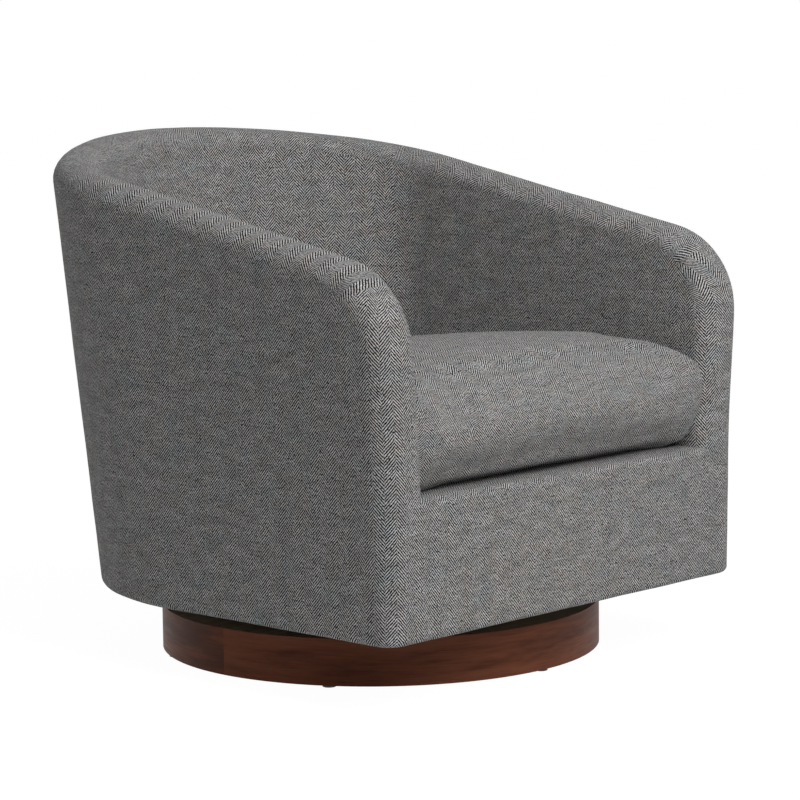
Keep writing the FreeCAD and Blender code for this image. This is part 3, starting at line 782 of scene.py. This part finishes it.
def grainy(name, dark, pale, stretch, scale, roughness, relief):
    material, tree, shader = newMaterial(name)
    values = grainLook
    drawnOut = nodeStretch(tree, objectCoords(tree), stretch)
    grain = nodeNoise(tree, drawnOut, scale, *values["grain"])
    speck = nodeNoise(tree, drawnOut, scale * values["speckFiner"], *values["speck"])
    parts = [nodeMath(tree, "MULTIPLY", *pair) for pair in zip((grain, speck), values["shares"])]
    mixed = nodeMath(tree, "ADD", *parts)
    share = nodeRange(tree, mixed, *values["fade"], smooth=True)
    tree.links.new(nodeMix(tree, share, dark, pale), shader.inputs["Base Color"])
    spread = values["roughnessSpread"]
    gloss = nodeRange(tree, speck, noiseLow, noiseHigh, roughness - spread, roughness + spread)
    tree.links.new(gloss, shader.inputs["Roughness"])
    tree.links.new(nodeBump(tree, mixed, relief, values["reliefDepth"]), shader.inputs["Normal"])
    return material


metals = {
    "spring_steel": {"name": "springSteel", "colour": (0.20, 0.20, 0.21),
                     "roughness": 0.42, "metallic": 1.0},
    "zinc_steel": {"name": "zincSteel", "colour": (0.52, 0.53, 0.55),
                   "roughness": 0.34, "metallic": 1.0},
    "black_steel": {"name": "blackSteel", "colour": (0.015, 0.015, 0.016),
                    "roughness": 0.5, "metallic": 0.0},
}
metalLook = {"smear": (35.0, 4.0, 0.6), "smearFade": (0.4, 0.7), "smearMost": 0.6,
             "wornGain": 1.35, "wornLift": 0.01, "smoother": 0.08, "rougher": 0.12,
             "grit": (1400.0, 2.0, 0.5), "relief": 0.08, "reliefDepth": 0.0003}


def metal(name, colour, roughness, metallic):
    material, tree, shader = newMaterial(name)
    values = metalLook
    coords = objectCoords(tree)
    smear = nodeNoise(tree, coords, *values["smear"])
    grit = nodeNoise(tree, coords, *values["grit"])
    worn = tuple(min(1.0, part * values["wornGain"] + values["wornLift"]) for part in colour)
    share = nodeRange(tree, smear, *values["smearFade"], 0.0, values["smearMost"])
    tree.links.new(nodeMix(tree, share, colour, worn), shader.inputs["Base Color"])
    low, high = roughness - values["smoother"], roughness + values["rougher"]
    tree.links.new(nodeRange(tree, smear, noiseLow, noiseHigh, low, high), shader.inputs["Roughness"])
    shader.inputs["Metallic"].default_value = metallic
    tree.links.new(nodeBump(tree, grit, values["relief"], values["reliefDepth"]), shader.inputs["Normal"])
    return material


cloth = herringboneCloth()
slotMaterials = {"herringbone_tweed": cloth, "walnut_veneer": walnutVeneer()}
for slotName, look in plainStuffs.items():
    slotMaterials[slotName] = grainy(**look)
for slotName, look in metals.items():
    slotMaterials[slotName] = metal(**look)
slotOf = {part["node"]: part["material_slot"] for part in frame["record"]["subparts"]}
for nodeName, cadNode in frame["nodes"].items():
    cadNode.data.materials.clear()
    cadNode.data.materials.append(slotMaterials[slotOf[nodeName]])
print("materials made")


# Rough directions, which only tell the outer side of a cover's cloth from its inner side
facing = {"sitterY": 0.10, "outsideRise": 0.3, "insideRise": 0.6, "armForward": 0.2, "deckForward": 0.1}
fills = {"outside": 1.0, "inside": 0.9}


def awayFromSitter(spot):
    return Vector((spot.x, spot.y - facing["sitterY"], facing["outsideRise"]))


def towardsSitter(spot):
    return Vector((-spot.x, facing["sitterY"] - spot.y, facing["insideRise"]))


def armTowardsSitter(spot):
    return towardsSitter(spot) + Vector((0.0, -facing["armForward"], 0.0))


def forwards(spot):
    return Vector((0.0, -1.0, 0.0))


def upwards(spot):
    return Vector((0.0, -facing["deckForward"], 1.0))


# Parts a wall's columns at the one nearest the seam, which both sides keep
def splitAt(columns, form, start, seam):
    def measure(column):
        spot = column[len(column) // 2][0]
        return wallMeasure(form, spot, start)
    index = min(range(len(columns)), key=lambda k: abs(measure(columns[k]) - seam))
    return columns[:index + 1], columns[index:], index


def makeCovers():
    outerArm, outerBack, outerIndex = splitAt(
        outsideWall(), barrel["outside"], firstColumn, barrel["outsideSeam"])
    innerArm, innerBack, innerIndex = splitAt(
        insideWall(), barrel["inside"], firstInside(), barrel["insideSeam"])
    last = len(cuts) - 1
    switch = next(k for k, cut in enumerate(cuts) if cut["turn"] > barrel["switchTurn"])
    outerSplit, innerSplit = noseStart + outerIndex, noseStart + innerIndex
    outerGrids = [outerArm, cornerFoot(), outsideRound(0, switch, True),
                  outsideRound(switch, outerSplit, False)]
    innerGrids = [innerArm, insideBand(steps["armLower"], switch, True),
                  insideBand(switch, innerSplit, False)]

    # On the back the weave is counted from its middle, so that both halves meet in one column
    middle = outerBack[-1][-1][1]
    innerMiddle = innerBack[-1][-1][1]
    backGrids = [shifted(outerBack, middle), shifted(outsideRound(outerSplit, last, False), middle)]
    innerBackGrids = [shifted(innerBack, innerMiddle), shifted(insideBand(innerSplit, last, False), middle)]

    outsideFill, insideFill = fills["outside"], fills["inside"]
    plans = []
    for side, turned in (("right", lambda grid: grid), ("left", mirrored)):
        plans.append(("outsideCover." + side, [turned(grid) for grid in outerGrids],
                      awayFromSitter, "outside_cover_" + side, outsideFill))
        plans.append(("insideCover." + side, [turned(grid) for grid in innerGrids],
                      armTowardsSitter, "inside_cover_" + side, insideFill))
    plans += [
        ("outsideCover.back", bothHalves(backGrids), awayFromSitter, "outside_cover_back", outsideFill),
        ("insideCover.back", bothHalves(innerBackGrids), towardsSitter, "inside_cover_back", insideFill),
        ("frontCover", [frontPanel()], forwards, "front_cover", outsideFill),
        ("deckCover", [deckSurface()], upwards, "deck_cover", outsideFill),
    ]
    pieces = [bareCover(name, grids, outwards) for name, grids, outwards, node, fill in plans]
    normals = sharedNormals(pieces)
    for piece, (name, grids, outwards, node, fill) in zip(pieces, plans):
        finishCover(piece, normals[name], node)


def shifted(columns, start):
    return [[(spot, u - start, v) for spot, u, v in column] for column in columns]


def bothHalves(grids):
    return grids + [mirrored(grid) for grid in grids]


makeCovers()
print("barrel covered")


# The loose cushion: the foam's shape, blown up under its cover. A pair such as cornerAcross says where a
# change begins and over what length it comes in
cushionValues = {
    "weld": 0.00002, "voxel": 0.005, "relax": 6, "settle": 8, "smoothing": 0.5,
    "pressure": 4.0, "frames": 20, "quality": 5, "cap": 0.012,
    "slopeStart": -0.26, "slope": 0.105, "cornerOut": 0.020, "cornerForward": 0.012,
    "cornerAcross": (0.19, 0.10), "cornerAlong": (0.30, 0.09),
    "crownDepth": 0.02, "middleY": -0.02, "sides": (0.20, 0.09), "ends": (0.28, 0.06),
    "underNose": 0.04, "nose": (-0.09, 0.03),
}


def ease(value):
    share = max(0.0, min(1.0, value))
    return share * share * (3.0 - 2.0 * share)


def comesIn(value, change):
    begin, over = change
    return ease((value - begin) / over)


# The seat falls to the back, and the front corners fill the space between the arms' rounded edges
def cushionForm(spot, low, high):
    values = cushionValues
    height = (spot.z - low) / (high - low)
    fall = values["slope"] * max(0.0, spot.y - values["slopeStart"])
    corner = comesIn(abs(spot.x), values["cornerAcross"]) * comesIn(-spot.y, values["cornerAlong"])
    belly = math.sin(math.pi * max(0.0, min(1.0, height)))
    return Vector((spot.x + math.copysign(values["cornerOut"] * corner * belly, spot.x),
                   spot.y - values["cornerForward"] * corner * belly,
                   spot.z - fall * height))


def smoothed(piece, name, rounds):
    smoothing = piece.modifiers.new(name, "SMOOTH")
    smoothing.factor = cushionValues["smoothing"]
    smoothing.iterations = rounds


def makeCushion():
    low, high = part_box("cushion_cover")
    data = frame["nodes"]["cushion_core"].data.copy()
    piece = bpy.data.objects.new("seatCushion", data)
    bpy.context.scene.collection.objects.link(piece)
    shell = bmesh.new()
    shell.from_mesh(data)
    bmesh.ops.remove_doubles(shell, verts=shell.verts, dist=cushionValues["weld"])
    shell.to_mesh(data)
    shell.free()
    remesh = piece.modifiers.new("remesh", "REMESH")
    remesh.mode = "VOXEL"
    remesh.voxel_size = cushionValues["voxel"]
    smoothed(piece, "relax", cushionValues["relax"])
    applyAll(piece)
    for vertex in piece.data.vertices:
        vertex.co = cushionForm(vertex.co, low.z, high.z)
    start = [vertex.co.copy() for vertex in piece.data.vertices]
    puff(piece)
    # The blown cover stays near the foam and doesn't sink into the deck
    for vertex, origin in zip(piece.data.vertices, start):
        moved = vertex.co - origin
        if moved.length > cushionValues["cap"]:
            vertex.co = origin + moved.normalized() * cushionValues["cap"]
        vertex.co.z = max(vertex.co.z, low.z)
    smoothed(piece, "settle", cushionValues["settle"])
    finer = piece.modifiers.new("finer", "SUBSURF")
    finer.levels = finer.render_levels = 1
    applyAll(piece)
    unwrapCushion(piece, high.z)
    piece.data.materials.clear()
    piece.data.materials.append(cloth)
    pickOnly(piece)
    bpy.ops.object.shade_smooth()
    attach(piece, "cushion")
    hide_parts("cushion_cover", "cushion_core")


def puff(piece):
    blow = piece.modifiers.new("blow", "CLOTH")
    blow.settings.use_pressure = True
    blow.settings.uniform_pressure_force = cushionValues["pressure"]
    blow.settings.effector_weights.gravity = 0.0
    blow.settings.quality = cushionValues["quality"]
    scene = bpy.context.scene
    for step in range(1, cushionValues["frames"] + 1):
        scene.frame_set(step)
    applyAll(piece)
    scene.frame_set(1)


# The weave runs front to back over the top and down the faces, so the drop below the crown is unrolled
def unwrapCushion(piece, crown):
    values = cushionValues
    data = piece.data
    weave = data.uv_layers.new(name="weave")
    places = []
    nose = min(vertex.co.y for vertex in data.vertices)
    middle = (crown + min(vertex.co.z for vertex in data.vertices)) / 2.0
    for vertex in data.vertices:
        x, y, z = vertex.co
        drop = max(0.0, crown - values["crownDepth"] - z)
        sideways = comesIn(abs(x), values["sides"])
        endways = comesIn(abs(y - values["middleY"]), values["ends"])
        under = ease((middle - z) / values["underNose"] + 0.5)
        tucked = under * comesIn(nose - y, values["nose"])
        along = y + 2.0 * (nose - y) * tucked
        places.append((x + math.copysign(drop * sideways * (1.0 - endways), x),
                       along + math.copysign(drop * endways, y - values["middleY"])))
    for loop in data.loops:
        weave.data[loop.index].uv = places[loop.vertex_index]


makeCushion()
print("cushion made")


# Floor, light and camera. A lamp has its place, its aim, the side of its square and its power
studio = {
    "floorSize": 60.0, "floorColour": (0.80, 0.80, 0.80), "floorRoughness": 0.9, "floorSpecular": 0.1,
    "glow": 1.13, "glowShare": 0.86, "worldLight": 0.20, "worldSeen": 1.0, "white": (1.0, 1.0, 1.0),
    "lamps": {
        "keyLight": {"place": (-0.5, -3.3, 2.8), "aim": (0.0, -0.1, 0.4), "size": 1.4, "power": 38.0},
        "topLight": {"place": (-0.1, -1.5, 3.0), "aim": (0.0, 0.1, 0.4), "size": 1.6, "power": 26.0},
    },
}


def softLight(name, place, aim, size, power):
    lamp = bpy.data.lights.new(name, "AREA")
    lamp.size = size
    lamp.energy = power
    holder = bpy.data.objects.new(name, lamp)
    bpy.context.scene.collection.objects.link(holder)
    holder.location = place
    holder.rotation_euler = (Vector(aim) - Vector(place)).to_track_quat("-Z", "Y").to_euler()


# 1 for rays straight from the camera, off metal or through glass: those see the white background
def whereSeen(tree):
    path = tree.nodes.new("ShaderNodeLightPath")
    indirect = nodeMath(tree, "MAXIMUM", path.outputs["Is Glossy Ray"], path.outputs["Is Transmission Ray"])
    return nodeMath(tree, "MAXIMUM", path.outputs["Is Camera Ray"], indirect)


def mixShaders(tree, share, first, second, outputName):
    mix = tree.nodes.new("ShaderNodeMixShader")
    for socket, source in zip(mix.inputs, (share, first.outputs[0], second.outputs[0])):
        tree.links.new(source, socket)
    tree.links.new(mix.outputs[0], tree.nodes[outputName].inputs["Surface"])


def whiteFloor():
    bpy.ops.object.select_all(action="DESELECT")
    bpy.ops.mesh.primitive_plane_add(size=studio["floorSize"], location=(0.0, 0.0, 0.0))
    floor = bpy.context.object
    floor.name = "floor"
    material, tree, shader = newMaterial("studioFloor")
    shader.inputs["Base Color"].default_value = (*studio["floorColour"], 1.0)
    shader.inputs["Roughness"].default_value = studio["floorRoughness"]
    shader.inputs["Specular IOR Level"].default_value = studio["floorSpecular"]
    glow = tree.nodes.new("ShaderNodeEmission")
    glow.inputs["Strength"].default_value = studio["glow"]
    share = nodeMath(tree, "MULTIPLY", whereSeen(tree), studio["glowShare"])
    mixShaders(tree, share, shader, glow, "Material Output")
    floor.data.materials.append(material)


def studioWorld():
    world = bpy.data.worlds.new("studio")
    bpy.context.scene.world = world
    world.use_nodes = True
    tree = world.node_tree
    light, white = tree.nodes["Background"], tree.nodes.new("ShaderNodeBackground")
    for background, strength in ((light, studio["worldLight"]), (white, studio["worldSeen"])):
        background.inputs["Color"].default_value = (*studio["white"], 1.0)
        background.inputs["Strength"].default_value = strength
    mixShaders(tree, whereSeen(tree), light, white, "World Output")


# The picture's viewpoint, found by fitting the barrel to the photo: metres from the swivel axis on the
# floor, degrees, and millimetres for the lens and its sensor
viewpoint = {"place": (-3.36605, -3.19942, 0.96913), "turn": -46.843, "down": 7.532, "roll": -0.67,
             "lens": 145.61, "sensor": 36.0, "nearest": 0.1, "furthest": 100.0}


def setCamera():
    turn, down, roll = (math.radians(viewpoint[key]) for key in ("turn", "down", "roll"))
    back = Vector((math.sin(turn) * math.cos(down), -math.cos(turn) * math.cos(down), math.sin(down)))
    level = Vector((math.cos(turn), math.sin(turn), 0.0))
    upright = level.cross(-back)
    right = level * math.cos(roll) + upright * math.sin(roll)
    up = upright * math.cos(roll) - level * math.sin(roll)
    camera = bpy.data.cameras.new("camera")
    camera.sensor_width = viewpoint["sensor"]
    camera.lens = viewpoint["lens"]
    camera.clip_start, camera.clip_end = viewpoint["nearest"], viewpoint["furthest"]
    holder = bpy.data.objects.new("camera", camera)
    bpy.context.scene.collection.objects.link(holder)
    place = Vector(viewpoint["place"]) + Vector((0.0, axisY, 0.0))
    holder.matrix_world = Matrix((
        (right.x, up.x, back.x, place.x), (right.y, up.y, back.y, place.y),
        (right.z, up.z, back.z, place.z), (0.0, 0.0, 0.0, 1.0)))
    bpy.context.scene.camera = holder


whiteFloor()
studioWorld()
for lampName, lampValues in studio["lamps"].items():
    softLight(lampName, **lampValues)
setCamera()
bpy.context.scene.view_settings.view_transform = "Standard"
print("stage set")
